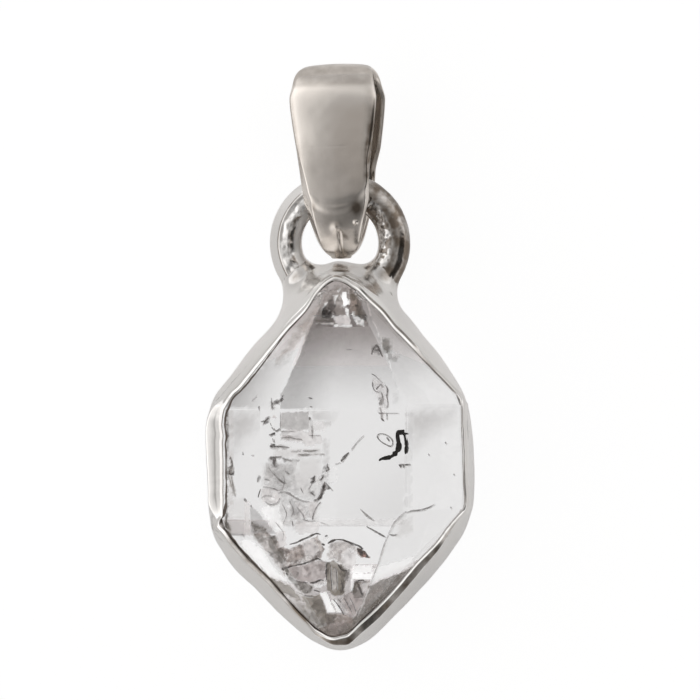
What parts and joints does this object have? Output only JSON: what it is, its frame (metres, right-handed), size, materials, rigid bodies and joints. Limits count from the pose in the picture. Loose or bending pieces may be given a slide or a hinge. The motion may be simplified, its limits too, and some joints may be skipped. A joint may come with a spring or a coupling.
{
  "type": "herkimer diamond pendant",
  "caption": "Clear quartz crystal with a point at each end, set in an open-backed silver bezel with a soldered ring and a tapered swinging bail.",
  "frame": {"origin": "centre of the crystal's flat back face, on the surface that the pendant lies on", "axes": "+Z out of the crystal's front face, away from the surface; +Y along the crystal's long axis towards the bail; +X to the right, seen from the front"},
  "size_m": [0.013, 0.0284, 0.0097],
  "materials": {
    "quartz": "clear natural crystal faces with a few inclusions",
    "silver": "polished sterling silver, slightly hammered and worn"
  },
  "bodies": {
    "setting": {"quartz_crystal": "quartz", "silver_bezel": "silver", "hanging_ring": "silver"},
    "bail": {"bail": "silver"}
  },
  "joints": [
    {"name": "bail_swing", "type": "hinge", "parent": "setting", "child": "bail", "pos_m": [0, 0.01238, 0.00223], "axis": [0.9899, 0.0259, 0.1392], "range_deg": [-105, 105]}
  ]
}
